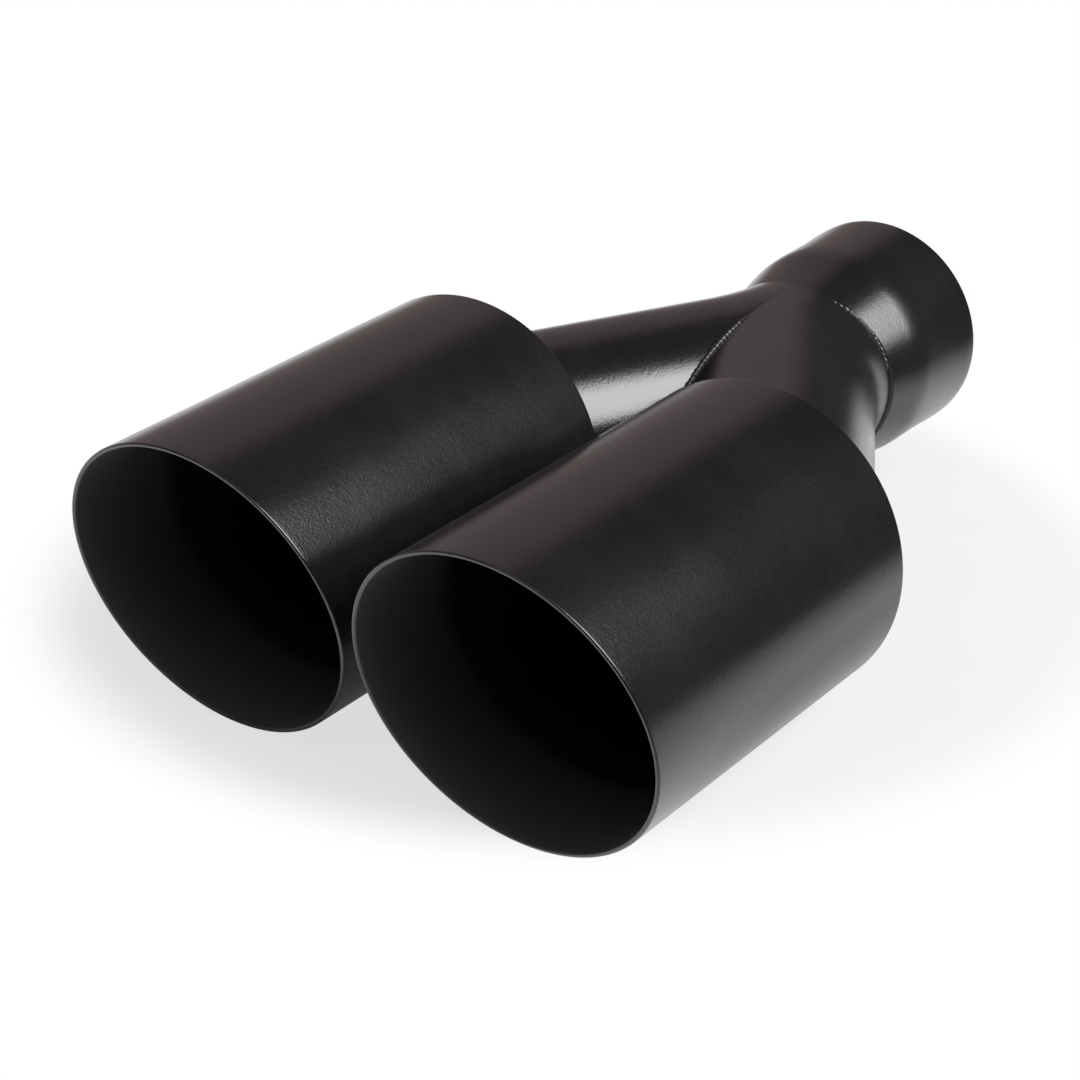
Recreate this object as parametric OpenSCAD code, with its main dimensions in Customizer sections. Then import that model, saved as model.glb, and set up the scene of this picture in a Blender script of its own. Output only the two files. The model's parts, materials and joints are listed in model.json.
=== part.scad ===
// Twin exhaust tip: two slash-cut tips on a Y of bent pipes, with one inlet collar.
// Millimetres. X to the right as seen from the mouths, Y towards the inlet, Z up.
// The origin is on the inlet's centre line, at the outer end of its straight bore.

/* [Inlet collar] */
// Bore that slips over the car's exhaust pipe
inlet_bore = 63.5; // [55:0.1:76]
// Wall thickness of the collar
collar_gauge = 1.3; // [1:0.1:2]
// Length of the straight bore
bore_length = 14; // [10:0.5:40]
// Length over which the collar is swaged down to the neck
swage_length = 22.4; // [18:0.1:30]
// Length of the rounding between the bore and the swage's cone
swage_rounding = 8; // [4:0.5:12]
// Slope of the swage's cone
swage_angle = 11.4; // [8:0.1:14]
// Length of the neck in front of the swage, on the centre plane
neck_length = 6.9; // [5:0.1:9]
// Slope of the saddle that is cut into the neck on either side
saddle_angle = 21; // [15:0.5:25]
// How much the mouth is opened, on the radius
mouth_swell = 0.45; // [0.2:0.05:1]
// Length of the slope up to the opened mouth
mouth_slope = 8; // [4:0.5:12]
// Length of the opened mouth itself
mouth_length = 5; // [3:0.5:20]

/* [Tips] */
// From the leaning branch's outside to the tip's outside, on the radius
tip_margin = 10.78; // [9:0.01:16]
// Clear space between the two tips
tip_gap = 10.9; // [6:0.1:20]
// Length of a tip along its centre line
tip_length = 116.5; // [80:0.5:160]
// Slope of the slash cut away from square, top edge leading
slash_angle = 14.3; // [0:0.1:25]
// How far the right tip stands ahead of the left one
tip_stagger = 7.4; // [0:0.1:9]
// Thickness of the tips' sheet
tip_gauge = 1.3; // [1:0.1:2]

/* [Branch pipes] */
// Wall thickness of the branch pipes
pipe_gauge = 1.3; // [1:0.1:2]
// Angle between a branch and the inlet's centre line
branch_angle = 29.35; // [25:0.05:34]
// Centre line radius of the bend that brings a branch into the neck
bend_radius = 70; // [60:1:80]
// How far a branch reaches into its tip, past the back plate
branch_inset = 5; // [2:0.5:12]

/* [Back plates] */
// Thickness of the pressed plates that close the tips' backs
plate_gauge = 1.5; // [1:0.1:2]
// Depth of a plate with its turned rim
plate_depth = 9; // [6:0.5:14]
// Outer radius of the turned rim's corner
plate_corner = 3; // [2.5:0.1:4]
// How far a plate sits inside the tip's back edge
plate_recess = 1; // [0.5:0.1:1.5]
// Clearance between a plate's rim and the tip round it
plate_fit = 0.15; // [0.05:0.05:0.3]
// Clearance round a branch where it passes through its plate
branch_fit = 0.3; // [0.1:0.05:0.5]

/* [Welds] */
// Breadth of the neck bead
neck_bead = 1.8; // [1.4:0.1:2.2]
// Height of the neck bead above the pipe
neck_bead_rise = 0.9; // [0.6:0.1:1.2]
// How far the crotch bead stands in front of the crotch
crotch_bead = 4; // [3:0.5:6]
// Greatest width of the crotch bead
crotch_bead_width = 3; // [2:0.2:4]
// Share of the crotch seam that the bead follows
crotch_bead_share = 0.64; // [0.5:0.01:0.7]
// Height and breadth of the bead round a branch on its plate
branch_bead = 1.8; // [1.2:0.1:2.2]
// Section radius of the bead between a tip and its plate
edge_bead = 1.6; // [1.4:0.1:2]

/* [Hidden] */

$fn = 96;
small_fn = 20;
fine_fn = 240;
rounding_steps = 6;
coat = [0.13, 0.13, 0.14];
bead_coat = [0.2, 0.2, 0.21];

left = -1;
right = 1;

// The rounding is tangent to the bore's wall and to the cone
rounding_r = swage_rounding / sin(swage_angle);
swage_drop = swage_rounding * tan(swage_angle / 2) + (swage_length - swage_rounding) * tan(swage_angle);

// Radii, from the inlet outwards
collar_bore_r = inlet_bore / 2;
collar_r = collar_bore_r + collar_gauge;
pipe_r = collar_r - swage_drop;
pipe_bore_r = pipe_r - pipe_gauge;
tip_r = pipe_r / cos(branch_angle) + tip_margin;
tip_bore_r = tip_r - tip_gauge;
tip_x = tip_r + tip_gap / 2;
plate_r = tip_bore_r - plate_fit;

// Stations along Y, from the inlet to the tips. The bends end just inside the saddle, and
// the straight runs, alike on both sides, meet the tips' centre lines halfway between the
// two back edges
mouth_y = mouth_slope + mouth_length;
swage_y = -(bore_length + swage_length);
neck_y = swage_y - neck_length;
bend_y = neck_y + collar_r * tan(saddle_angle);
vertex_y = bend_y - bend_radius * tan(branch_angle / 2);
crotch_y = vertex_y - pipe_r / sin(branch_angle);
mean_back_y = vertex_y - tip_x / tan(branch_angle);
run_length = (vertex_y - mean_back_y) / cos(branch_angle) + tip_r;
function back_y(side) = mean_back_y - side * tip_stagger / 2;
function plate_y(side) = back_y(side) - plate_recess;

// A reach that clears the whole part on either side
reach = tip_x + tip_r;

// Where the edge bead's round section is centred, from the tip's wall and the plate's face
edge_bead_in = edge_bead * 0.6;
edge_bead_down = edge_bead / 4;

// A bar of radius r along a branch's straight run, from the vertex or through it
module branch_bar(side, r, back = 0)
    translate([0, vertex_y, 0])
        rotate([90, 0, side * branch_angle])
            translate([0, 0, -back])
                cylinder(r = r, h = run_length + back);

// The right branch as a solid bar, made where its bend meets its straight run and then turned
// until the bend ends square to the inlet's centre line
module right_run(r)
    translate([bend_radius, bend_y, 0])
        rotate([0, 0, branch_angle])
            translate([-bend_radius, 0, 0]) {
                rotate([90, 0, 0])
                    cylinder(r = r, h = run_length);
                translate([bend_radius, 0, 0])
                    mirror([0, 1, 0])
                        rotate([0, 0, 180])
                            rotate_extrude(angle = branch_angle)
                                translate([bend_radius, 0])
                                    circle(r = r);
            }

module branch_run(side, r)
    if (side == right)
        right_run(r);
    else
        mirror([1, 0, 0])
            right_run(r);

// Everything on one side of the centre plane, as far forward as a branch's end
module branch_side(side) {
    front = plate_y(side) - plate_gauge - branch_inset;
    translate([side == right ? 0 : -reach, front, -tip_r])
        cube([reach, -front, 2 * tip_r]);
}

// Everything from the saddle forwards or back to the given station
module saddle_block(end, start = neck_y) {
    rise = reach * tan(saddle_angle);
    linear_extrude(height = 2 * tip_r, center = true)
        polygon([[-reach, start + rise], [0, start], [reach, start + rise], [reach, end], [-reach, end]]);
}

module tip(side)
    color(coat)
        difference() {
            translate([side * tip_x, back_y(side), 0])
                rotate([90, 0, 0])
                    difference() {
                        cylinder(r = tip_r, h = tip_length + tip_r);
                        translate([0, 0, -tip_r])
                            cylinder(r = tip_bore_r, h = tip_length + 3 * tip_r);
                    }
            // What lies in front of the slash
            translate([side * tip_x, back_y(side) - tip_length, 0])
                rotate([slash_angle, 0, 0])
                    translate([-2 * tip_r, -4 * tip_r, -2 * tip_r])
                        cube(4 * tip_r);
        }

// Filled half section with one rounded corner, its face at the axis's zero
module rounded_block(r, corner, depth) {
    translate([0, -depth])
        square([r, depth - corner]);
    translate([0, -corner])
        square([r - corner, corner]);
    translate([r - corner, -corner])
        circle(r = corner, $fn = small_fn);
}

// Half section of a back plate: a flat disc with its rim turned forwards
module plate_section()
    difference() {
        rounded_block(plate_r, plate_corner, plate_depth);
        translate([0, -plate_gauge])
            rounded_block(plate_r - plate_gauge, plate_corner - plate_gauge, plate_depth);
    }

module back_plate(side)
    color(coat)
        difference() {
            translate([side * tip_x, plate_y(side), 0])
                rotate([-90, 0, 0])
                    rotate_extrude()
                        plate_section();
            branch_bar(side, pipe_r + branch_fit);
        }

module branch(side)
    color(coat)
        intersection() {
            difference() {
                branch_run(side, pipe_r);
                branch_run(side, pipe_bore_r);
            }
            branch_side(side);
            saddle_block(mean_back_y - tip_length);
        }

// Where the collar's wall runs from the neck to the mouth, set in from its outside by a
// distance. The neck is left longer than the saddle that cuts it
function collar_line(inset) = concat(
    [
        [pipe_r - inset, neck_y - neck_bead],
        [pipe_r - inset, swage_y + inset * tan(swage_angle / 2)]
    ],
    [
        for (i = [rounding_steps:-1:0])
            let (angle = swage_angle * i / rounding_steps)
                [collar_r - rounding_r + (rounding_r - inset) * cos(angle),
                    -bore_length - (rounding_r - inset) * sin(angle)]
    ],
    [
        [collar_r - inset, 0],
        [collar_r - inset + mouth_swell, mouth_slope],
        [collar_r - inset + mouth_swell, mouth_y]
    ]
);

// Half section of the collar: out along one face of the wall and back along the other
module collar_section() {
    inner = collar_line(collar_gauge);
    polygon(concat(collar_line(0), [for (i = [len(inner) - 1:-1:0]) inner[i]]));
}

module inlet_collar()
    color(coat)
        difference() {
            rotate([-90, 0, 0])
                rotate_extrude()
                    collar_section();
            saddle_block(crotch_y);
        }

// The bead fills the step from the pipes up to the saddle's edge
module neck_weld()
    color(bead_coat)
        difference() {
            translate([0, bend_y, 0])
                rotate([90, 0, 0])
                    cylinder(r = pipe_r + neck_bead_rise, h = bend_y - neck_y + 2 * neck_bead, $fn = fine_fn);
            branch_run(left, pipe_r, $fn = fine_fn);
            branch_run(right, pipe_r, $fn = fine_fn);
            saddle_block(crotch_y, neck_y - neck_bead);
            saddle_block(reach);
        }

// The bead is what the two pipes would share if they met a little further forward,
// so it is thickest in the crotch and thins out where the seam runs level
module crotch_weld() {
    seam = (vertex_y - crotch_y) * crotch_bead_share;
    color(bead_coat)
        difference() {
            intersection() {
                translate([0, -crotch_bead, 0])
                    branch_bar(left, pipe_r);
                translate([0, -crotch_bead, 0])
                    branch_bar(right, pipe_r);
                translate([-crotch_bead_width / 2, crotch_y - crotch_bead, -pipe_r])
                    cube([crotch_bead_width, crotch_bead + seam, 2 * pipe_r]);
            }
            branch_bar(left, pipe_r, pipe_r);
            branch_bar(right, pipe_r, pipe_r);
        }
}

module branch_weld(side)
    color(bead_coat)
        difference() {
            intersection() {
                branch_bar(side, pipe_r + branch_bead);
                translate([side * tip_x - tip_r, plate_y(side), -tip_r])
                    cube([2 * tip_r, branch_bead, 2 * tip_r]);
            }
            branch_bar(side, pipe_r);
        }

// The bead fills the groove between a tip's wall and the plate's round corner
module edge_weld(side)
    color(bead_coat)
        translate([side * tip_x, plate_y(side), 0])
            rotate([-90, 0, 0])
                rotate_extrude()
                    difference() {
                        translate([tip_bore_r - edge_bead_in, -edge_bead_down])
                            circle(r = edge_bead, $fn = small_fn);
                        translate([tip_bore_r, -plate_corner])
                            square([edge_bead, plate_corner + plate_recess]);
                        rounded_block(plate_r, plate_corner, plate_depth);
                    }

tip(left);  // left_tip
tip(right);  // right_tip
back_plate(left);  // left_back_plate
back_plate(right);  // right_back_plate
branch(left);  // left_branch
branch(right);  // right_branch
inlet_collar();
crotch_weld();
neck_weld();
branch_weld(left);  // left_branch_weld
branch_weld(right);  // right_branch_weld
edge_weld(left);  // left_edge_weld
edge_weld(right);  // right_edge_weld
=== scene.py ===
import json
import math
from collections import namedtuple

import bmesh
import bpy
from bpy.props import FloatProperty, FloatVectorProperty, IntProperty, PointerProperty
from bpy.types import Operator, Panel, PropertyGroup
from mathutils import Matrix, Quaternion, Vector


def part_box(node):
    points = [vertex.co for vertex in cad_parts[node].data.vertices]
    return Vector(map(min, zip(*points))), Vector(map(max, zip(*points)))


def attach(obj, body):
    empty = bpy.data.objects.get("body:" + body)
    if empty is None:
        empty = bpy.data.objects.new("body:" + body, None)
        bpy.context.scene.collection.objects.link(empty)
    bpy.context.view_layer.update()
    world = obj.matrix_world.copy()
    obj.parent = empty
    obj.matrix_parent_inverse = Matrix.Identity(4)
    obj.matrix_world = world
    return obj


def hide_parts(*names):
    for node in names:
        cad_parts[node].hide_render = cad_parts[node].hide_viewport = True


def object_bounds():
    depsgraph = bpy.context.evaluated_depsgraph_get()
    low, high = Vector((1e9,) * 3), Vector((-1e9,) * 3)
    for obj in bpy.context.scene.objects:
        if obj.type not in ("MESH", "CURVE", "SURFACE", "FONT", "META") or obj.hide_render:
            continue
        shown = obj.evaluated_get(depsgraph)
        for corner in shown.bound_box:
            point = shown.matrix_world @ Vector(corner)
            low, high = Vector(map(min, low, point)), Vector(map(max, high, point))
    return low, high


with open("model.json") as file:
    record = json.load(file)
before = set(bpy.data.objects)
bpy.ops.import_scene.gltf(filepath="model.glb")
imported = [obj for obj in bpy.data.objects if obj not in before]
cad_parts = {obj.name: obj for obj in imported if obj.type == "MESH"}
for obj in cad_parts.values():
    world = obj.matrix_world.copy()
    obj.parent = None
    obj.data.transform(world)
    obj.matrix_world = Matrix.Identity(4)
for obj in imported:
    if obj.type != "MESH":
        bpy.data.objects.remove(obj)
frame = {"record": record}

bl_info = {
    "name": "Twin Exhaust Tip",
    "version": (1, 0, 0),
    "blender": (4, 5, 0),
    "location": "3D View > Sidebar > Exhaust Tip",
    "description": "Models and coats a twin exhaust tip round its packed frame",
    "category": "Object",
}

# The CAD box is measured before anything is added
CAD_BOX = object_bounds()

MM = 0.001
LEFT = -1
RIGHT = 1
SIDE_WORDS = {LEFT: "left", RIGHT: "right"}
BODY = "root"
COAT_SLOT = "black_coat"
BEAD_SLOT = "weld_coat"

# Steps of a whole turn in the round pieces, and in the card under the part
TURN_STEPS = 160
CARD_STEPS = 128

# Points closer than this become one, and edges that turn by more than this are rounded
MERGE_DISTANCE = 0.01 * MM
SHARP_TURN = math.radians(50)

# How a coat lies: depth of its relief, least and most roughness, and how strongly its pale edge line shows,
# partly powder drawn back and partly a painted highlight
Finish = namedtuple("Finish", "grain_depth sheen_low sheen_high edge_amount")
TUBE_FINISH = Finish(grain_depth=0.000033, sheen_low=0.165, sheen_high=0.22, edge_amount=0.5)
PIPE_FINISH = TUBE_FINISH._replace(edge_amount=0.35)
PLATE_FINISH = Finish(grain_depth=0.000014, sheen_low=0.36, sheen_high=0.46, edge_amount=0.3)
WELD_FINISH = Finish(grain_depth=0.00001, sheen_low=0.28, sheen_high=0.38, edge_amount=0.0)

# How strongly orange peel shows beside the grain, and the darkest and palest shade of the coat's colour
PEEL_SHARE = 0.6
DARK_SHADE = 0.72
LIGHT_SHADE = 1.3

# What slow changes, patches and each speck of grain add to the powder's shade
SLOW_SHADE = 0.5
PATCH_SHADE = 0.3
SPECK_GRAIN = (0.35, 0.75)
SPECK_SHADE = (-0.45, 0.55)

# Spans in which the powder's shade and sheen move
SHADE_SPAN = (-0.7, 0.7)
SHEEN_SPAN = (0.45, 1.05)

# Span in which most of a noise texture's values lie
NOISE_LOW = 0.3
NOISE_HIGH = 0.7

# Likeness of the rounded and the true normal where an edge's line starts and where it is full
LINE_STARTS = 0.99
LINE_FULL = 0.8

# Where that line is broken: a span of its noise, and how much of it shows there
BREAK_NOISE = (0.35, 0.65)
BREAK_SHOWS = (0.35, 1.0)

# How far the edge of the painted shade inside a mouth strays to either side
SHADE_EDGE_REACH = 0.7 * MM

# Waves per metre of the coat's slow shades, patches and broken edge line, of the wavy edge of the painted
# shade inside a mouth, and of the card
SLOW_SCALE = 22.0
PATCH_SCALE = 130.0
BROKEN_SCALE = 260.0
SHADE_EDGE_SCALE = 60.0
CARD_SCALE = 40.0

# The two whites of the card
CARD_SHADES = ((0.8, 0.8, 0.8), (0.84, 0.84, 0.84))

# One weld puddle's mesh, and how far it leans back along the seam
PUDDLE_SEGMENTS = 20
PUDDLE_RINGS = 12
PUDDLE_LEAN = math.radians(-24)

# How deep the edge bead's middle lies in its groove, in radii of the bead
EDGE_SINK = 0.8

# Two slow waves, each an amount and a step, by which the puddles of a bead differ in size
SWELLS = ((0.09, 2.3), (0.07, 5.1))

# Size of the first puddle of a bead that has ends, and what each further one gains
END_SIZE = 0.4
END_GAIN = 0.1

# Each lamp's direction and distance from the part, its size, its light and its roll
LAMPS = {
    "key_softbox": {
        "azimuth": math.radians(75), "elevation": math.radians(38), "distance": 6.0,
        "width": 7.2, "height": 5.8, "radiance": 7.2, "roll": math.radians(-12)},
    "front_fill": {
        "azimuth": math.radians(175), "elevation": math.radians(55), "distance": 1.4,
        "width": 1.6, "height": 1.2, "radiance": 0.6, "roll": 0.0},
}


# Places and sizes read from the frame

def wanted(group):
    """One group of the sizes and colours that a user may have changed."""
    return getattr(bpy.context.scene, "exhaust_" + group)


def named(side, what):
    """The name of a piece that is there on both sides."""
    return SIDE_WORDS[side] + "_" + what


def inlet_bore():
    """The mount that the collar's bore is, with its radius and length in metres."""
    for mount in frame["record"]["mounts"]:
        if mount["name"] == "inlet_bore":
            return mount["dims"]["r_mm"] * MM, mount["dims"]["length_mm"] * MM
    raise RuntimeError("the record has no inlet_bore mount")


def tip_place(side):
    """Centre line, outer radius, top front edge and back edge of a tip."""
    low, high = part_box(named(side, "tip"))
    return (low.x + high.x) / 2, (high.x - low.x) / 2, low.y, high.y


def branch_place(side):
    """Outer radius and inner end of a branch pipe."""
    low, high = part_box(named(side, "branch"))
    return high.z, low.y


def run_direction(side):
    """The way a branch's straight run leaves its bend."""
    angle = wanted("pipes").branch_angle
    return Vector((side * math.sin(angle), -math.cos(angle), 0))


def vertex_point():
    """Where the centre lines of the two straight runs cross, seen from midway between the tips' backs."""
    centre_x = tip_place(RIGHT)[0]
    middle_back_y = (tip_place(LEFT)[3] + tip_place(RIGHT)[3]) / 2
    return Vector((0, middle_back_y + centre_x / math.tan(wanted("pipes").branch_angle), 0))


def neck_y():
    """Front end of the collar's neck, where the saddle is cut into it on either side."""
    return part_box("inlet_collar")[0].y


def saddle_normal(side):
    """Direction square to one side of the saddle, towards the tips."""
    angle = wanted("collar").saddle_angle
    return Vector((side * math.sin(angle), -math.cos(angle), 0))


# Ways of working that every piece uses

def deselect():
    bpy.ops.object.select_all(action="DESELECT")


def pick(piece):
    """Leaves a piece as the only one selected, and the active one."""
    deselect()
    bpy.context.view_layer.objects.active = piece
    piece.select_set(True)


def open_for_edit(piece):
    pick(piece)
    bpy.ops.object.mode_set(mode="EDIT")
    bpy.ops.mesh.select_mode(type="VERT")


def close_edit():
    bpy.ops.object.mode_set(mode="OBJECT")


def pick_vertices(piece, test):
    """Selects, in edit mode, the vertices whose place passes the test."""
    mesh = bmesh.from_edit_mesh(piece.data)
    for vertex in mesh.verts:
        vertex.select_set(test(vertex.co))
    mesh.select_flush(True)
    mesh.select_flush(False)
    bmesh.update_edit_mesh(piece.data)


def cut(place, normal, keep_both=False):
    """Bisects all of the open mesh, and removes what lies behind the plane unless both stay."""
    bpy.ops.mesh.select_all(action="SELECT")
    bpy.ops.mesh.bisect(plane_co=place, plane_no=normal, clear_inner=not keep_both, clear_outer=False)


def close_wall(piece, test):
    """Bridges the open edges of an outer and an inner wall where the test holds."""
    bpy.ops.mesh.select_mode(type="EDGE")
    mesh = bmesh.from_edit_mesh(piece.data)
    for edge in mesh.edges:
        edge.select_set(edge.is_boundary and test((edge.verts[0].co + edge.verts[1].co) / 2))
    bmesh.update_edit_mesh(piece.data)
    bpy.ops.mesh.bridge_edge_loops()
    bpy.ops.mesh.select_mode(type="VERT")


def round_sharp_edges(piece, width, segments, from_y=-math.inf):
    """Rounds the sharp edges of the open mesh that lie behind a station."""
    bpy.ops.mesh.select_mode(type="EDGE")
    bpy.ops.mesh.select_all(action="DESELECT")
    bpy.ops.mesh.edges_select_sharp(sharpness=SHARP_TURN)
    mesh = bmesh.from_edit_mesh(piece.data)
    for edge in mesh.edges:
        edge.select_set(edge.select and edge.verts[0].co.y > from_y)
    bmesh.update_edit_mesh(piece.data)
    bpy.ops.mesh.bevel(offset=width, segments=segments, profile=0.5, affect="EDGES")
    bpy.ops.mesh.select_mode(type="VERT")


def face_outwards():
    bpy.ops.mesh.select_all(action="SELECT")
    bpy.ops.mesh.remove_doubles(threshold=MERGE_DISTANCE)
    bpy.ops.mesh.normals_make_consistent(inside=False)


def apply_modifier(piece, kind, name, **settings):
    modifier = piece.modifiers.new(name, kind)
    for key, value in settings.items():
        setattr(modifier, key, value)
    pick(piece)
    bpy.ops.object.modifier_apply(modifier=name)


def smooth_and_weight(piece, angle=math.radians(40)):
    """Smooth shading whose large faces keep their own normals beside a small rounding."""
    pick(piece)
    bpy.ops.object.shade_smooth_by_angle(angle=angle)
    apply_modifier(piece, "WEIGHTED_NORMAL", "even_shading", keep_sharp=True, weight=60)


def turned(name, section, centre_x):
    """A closed section of (radius, y) points, drawn beside a centre line and spun round it."""
    deselect()
    first_radius, first_y = section[0]
    bpy.ops.mesh.primitive_plane_add(size=MM, location=(0, 0, 0))
    piece = bpy.context.object
    piece.name = name
    piece.data.name = name
    open_for_edit(piece)
    bpy.ops.mesh.select_all(action="SELECT")
    bpy.ops.mesh.merge(type="CENTER")
    bpy.ops.transform.translate(value=(centre_x + first_radius, first_y, 0))
    for (old_radius, old_y), (radius, y) in zip(section, section[1:]):
        move = (radius - old_radius, y - old_y, 0)
        bpy.ops.mesh.extrude_vertices_move(TRANSFORM_OT_translate={"value": move})
    ends = (Vector((centre_x + first_radius, first_y, 0)), Vector((centre_x + radius, y, 0)))
    pick_vertices(piece, lambda place: min((place - end).length for end in ends) < MERGE_DISTANCE)
    bpy.ops.mesh.edge_face_add()
    bpy.ops.mesh.select_all(action="SELECT")
    bpy.ops.mesh.spin(
        steps=TURN_STEPS, angle=2 * math.pi, use_auto_merge=True,
        center=(centre_x, 0, 0), axis=(0, 1, 0))
    face_outwards()
    close_edit()
    return piece


def corner(centre, radius, start, end, steps):
    """Points of an arc in a section, from one angle to the other."""
    return [
        (centre[0] + radius * math.cos(start + (end - start) * step / steps),
         centre[1] + radius * math.sin(start + (end - start) * step / steps))
        for step in range(steps + 1)]


def hand_over(piece, slot, material, *nodes):
    """Gives a finished piece its material and its body, and hides the CAD nodes that it stands for."""
    piece.data.materials.clear()
    piece.data.materials.append(material)
    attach(piece, BODY)
    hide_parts(*nodes)


def hand_over_bead(bead, node):
    hand_over(bead, BEAD_SLOT, coat_material("weld_powder_coat", WELD_FINISH), node)


# Shader groups shared by the materials

def new_group(name, inputs, outputs):
    """An empty shader group whose named inputs and outputs are numbers."""
    group = bpy.data.node_groups.new(name, "ShaderNodeTree")
    for way, labels in (("INPUT", inputs), ("OUTPUT", outputs)):
        for label in labels:
            group.interface.new_socket(label, in_out=way, socket_type="NodeSocketFloat")
    return group, group.nodes.new("NodeGroupInput"), group.nodes.new("NodeGroupOutput")


def feed(tree, socket, value):
    """Links an input to the socket that it is given, or sets it to a plain value."""
    if isinstance(value, bpy.types.NodeSocket):
        tree.links.new(value, socket)
    else:
        socket.default_value = value


def set_inputs(node, **values):
    """Sets inputs of a node, with an underscore for each space in their names."""
    for label, value in values.items():
        node.inputs[label.replace("_", " ")].default_value = value


def ranged(tree, value, low, high, to_low, to_high, smooth=False):
    """A Map Range node that turns one span of a value into another."""
    node = tree.nodes.new("ShaderNodeMapRange")
    node.interpolation_type = "SMOOTHSTEP" if smooth else "LINEAR"
    set_inputs(node, From_Min=low, From_Max=high, To_Min=to_low, To_Max=to_high)
    tree.links.new(value, node.inputs["Value"])
    return node.outputs["Result"]


def reckon(tree, operation, first, second):
    """A Math node on two sockets or numbers."""
    node = tree.nodes.new("ShaderNodeMath")
    node.operation = operation
    feed(tree, node.inputs[0], first)
    feed(tree, node.inputs[1], second)
    return node.outputs["Value"]


def reckon_vector(tree, operation, first, second=(0, 0, 0)):
    """A Vector Math node on sockets or vectors, which gives a number where the operation does."""
    node = tree.nodes.new("ShaderNodeVectorMath")
    node.operation = operation
    feed(tree, node.inputs[0], first)
    feed(tree, node.inputs[1], second)
    return node.outputs["Value" if operation in ("DOT_PRODUCT", "DISTANCE") else "Vector"]


def mixed(tree, share, first, second):
    """A Mix Shader node that goes from the first shader to the second as the share grows."""
    node = tree.nodes.new("ShaderNodeMixShader")
    for socket, value in zip(node.inputs, (share, first, second)):
        tree.links.new(value, socket)
    return node.outputs["Shader"]


def noise(tree, vector, scale, detail, roughness=0.5):
    node = tree.nodes.new("ShaderNodeTexNoise")
    feed(tree, node.inputs["Scale"], scale)
    set_inputs(node, Detail=detail, Roughness=roughness)
    tree.links.new(vector, node.inputs["Vector"])
    return node.outputs["Fac"]


def varied(tree, value, to_low, to_high):
    """Turns the span in which most of a noise texture's values lie into another."""
    return ranged(tree, value, NOISE_LOW, NOISE_HIGH, to_low, to_high)


def powder_coat_group():
    """Baked powder: orange-peel swells, fine grain and slow changes of shade."""
    group, given, put = new_group(
        "powder_coat", ["Grain Size", "Peel Size"], ["Height", "Shade", "Sheen"])
    place = group.nodes.new("ShaderNodeTexCoord").outputs["Object"]
    grain_scale = reckon(group, "DIVIDE", 1.0, given.outputs["Grain Size"])
    grain = noise(group, place, grain_scale, detail=1.5)
    peel_scale = reckon(group, "DIVIDE", 1.0, given.outputs["Peel Size"])
    peel = noise(group, place, peel_scale, detail=1.0)
    swells = reckon(group, "MULTIPLY", peel, PEEL_SHARE)
    group.links.new(reckon(group, "ADD", grain, swells), put.inputs["Height"])
    slow = noise(group, place, SLOW_SCALE, detail=3.0, roughness=0.6)
    patch = noise(group, place, PATCH_SCALE, detail=2.0, roughness=0.55)
    shade = reckon(group, "ADD", varied(group, slow, -SLOW_SHADE, SLOW_SHADE),
                   varied(group, patch, -PATCH_SHADE, PATCH_SHADE))
    speck = ranged(group, grain, *SPECK_GRAIN, *SPECK_SHADE)
    group.links.new(reckon(group, "ADD", shade, speck), put.inputs["Shade"])
    sheen = reckon(group, "ADD", slow, reckon(group, "MULTIPLY", grain, 0.5))
    group.links.new(sheen, put.inputs["Sheen"])
    return group


def edge_line_and_highlight_group():
    """A mask of the thin pale line at a sharp edge: partly powder drawn back, partly a painted highlight."""
    group, given, put = new_group("edge_powder_and_highlight", ["Width", "Amount"], ["Mask"])
    bevel = group.nodes.new("ShaderNodeBevel")
    bevel.samples = 6
    group.links.new(given.outputs["Width"], bevel.inputs["Radius"])
    shape = group.nodes.new("ShaderNodeNewGeometry")
    likeness = reckon_vector(group, "DOT_PRODUCT", bevel.outputs["Normal"], shape.outputs["Normal"])
    line = ranged(group, likeness, LINE_STARTS, LINE_FULL, 0.0, 1.0, smooth=True)
    place = group.nodes.new("ShaderNodeTexCoord").outputs["Object"]
    breaks = noise(group, place, BROKEN_SCALE, detail=3.0, roughness=0.7)
    broken = ranged(group, breaks, *BREAK_NOISE, *BREAK_SHOWS)
    mask = reckon(group, "MULTIPLY", reckon(group, "MULTIPLY", line, broken), given.outputs["Amount"])
    group.links.new(mask, put.inputs["Mask"])
    return group


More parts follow.
